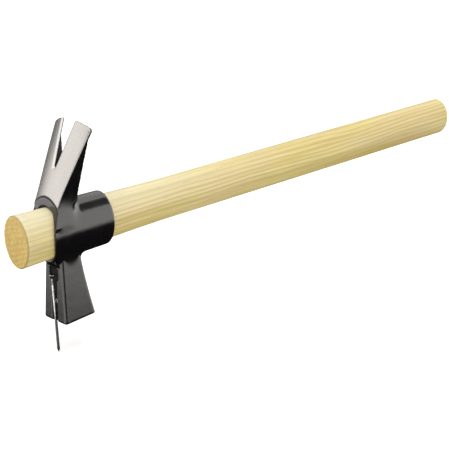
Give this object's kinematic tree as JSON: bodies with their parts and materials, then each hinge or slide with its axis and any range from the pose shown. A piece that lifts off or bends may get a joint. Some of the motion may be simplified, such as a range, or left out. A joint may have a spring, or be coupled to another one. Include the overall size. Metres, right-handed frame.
{
  "type": "formwork claw hammer",
  "caption": "Carpenter's claw hammer with a square striking block, straight split claw, oval ash handle and a loaded magnetic nail starter.",
  "frame": {"origin": "on the handle's axis, above the middle of the striking block", "axes": "+X along the handle toward the grip end, +Z toward the claw tips with the striking face below, symmetric about Y = 0"},
  "size_m": [0.4, 0.0362, 0.146],
  "materials": {
    "head_steel": "semi-gloss black lacquer over a steel forging, claw front polished bright",
    "ash": "sanded pale ash, clear satin finish",
    "magnet_plating": "bright nickel plating",
    "nail_wire": "bright drawn wire"
  },
  "bodies": {
    "hammer": {"head": "head_steel", "handle": "ash", "nail_magnet": "magnet_plating"},
    "nail": {"nail": "nail_wire"}
  },
  "joints": [
    {"name": "nail_lift", "type": "slide", "parent": "hammer", "child": "nail", "axis": [-1, 0, 0], "range_m": [0, 0.04]}
  ]
}
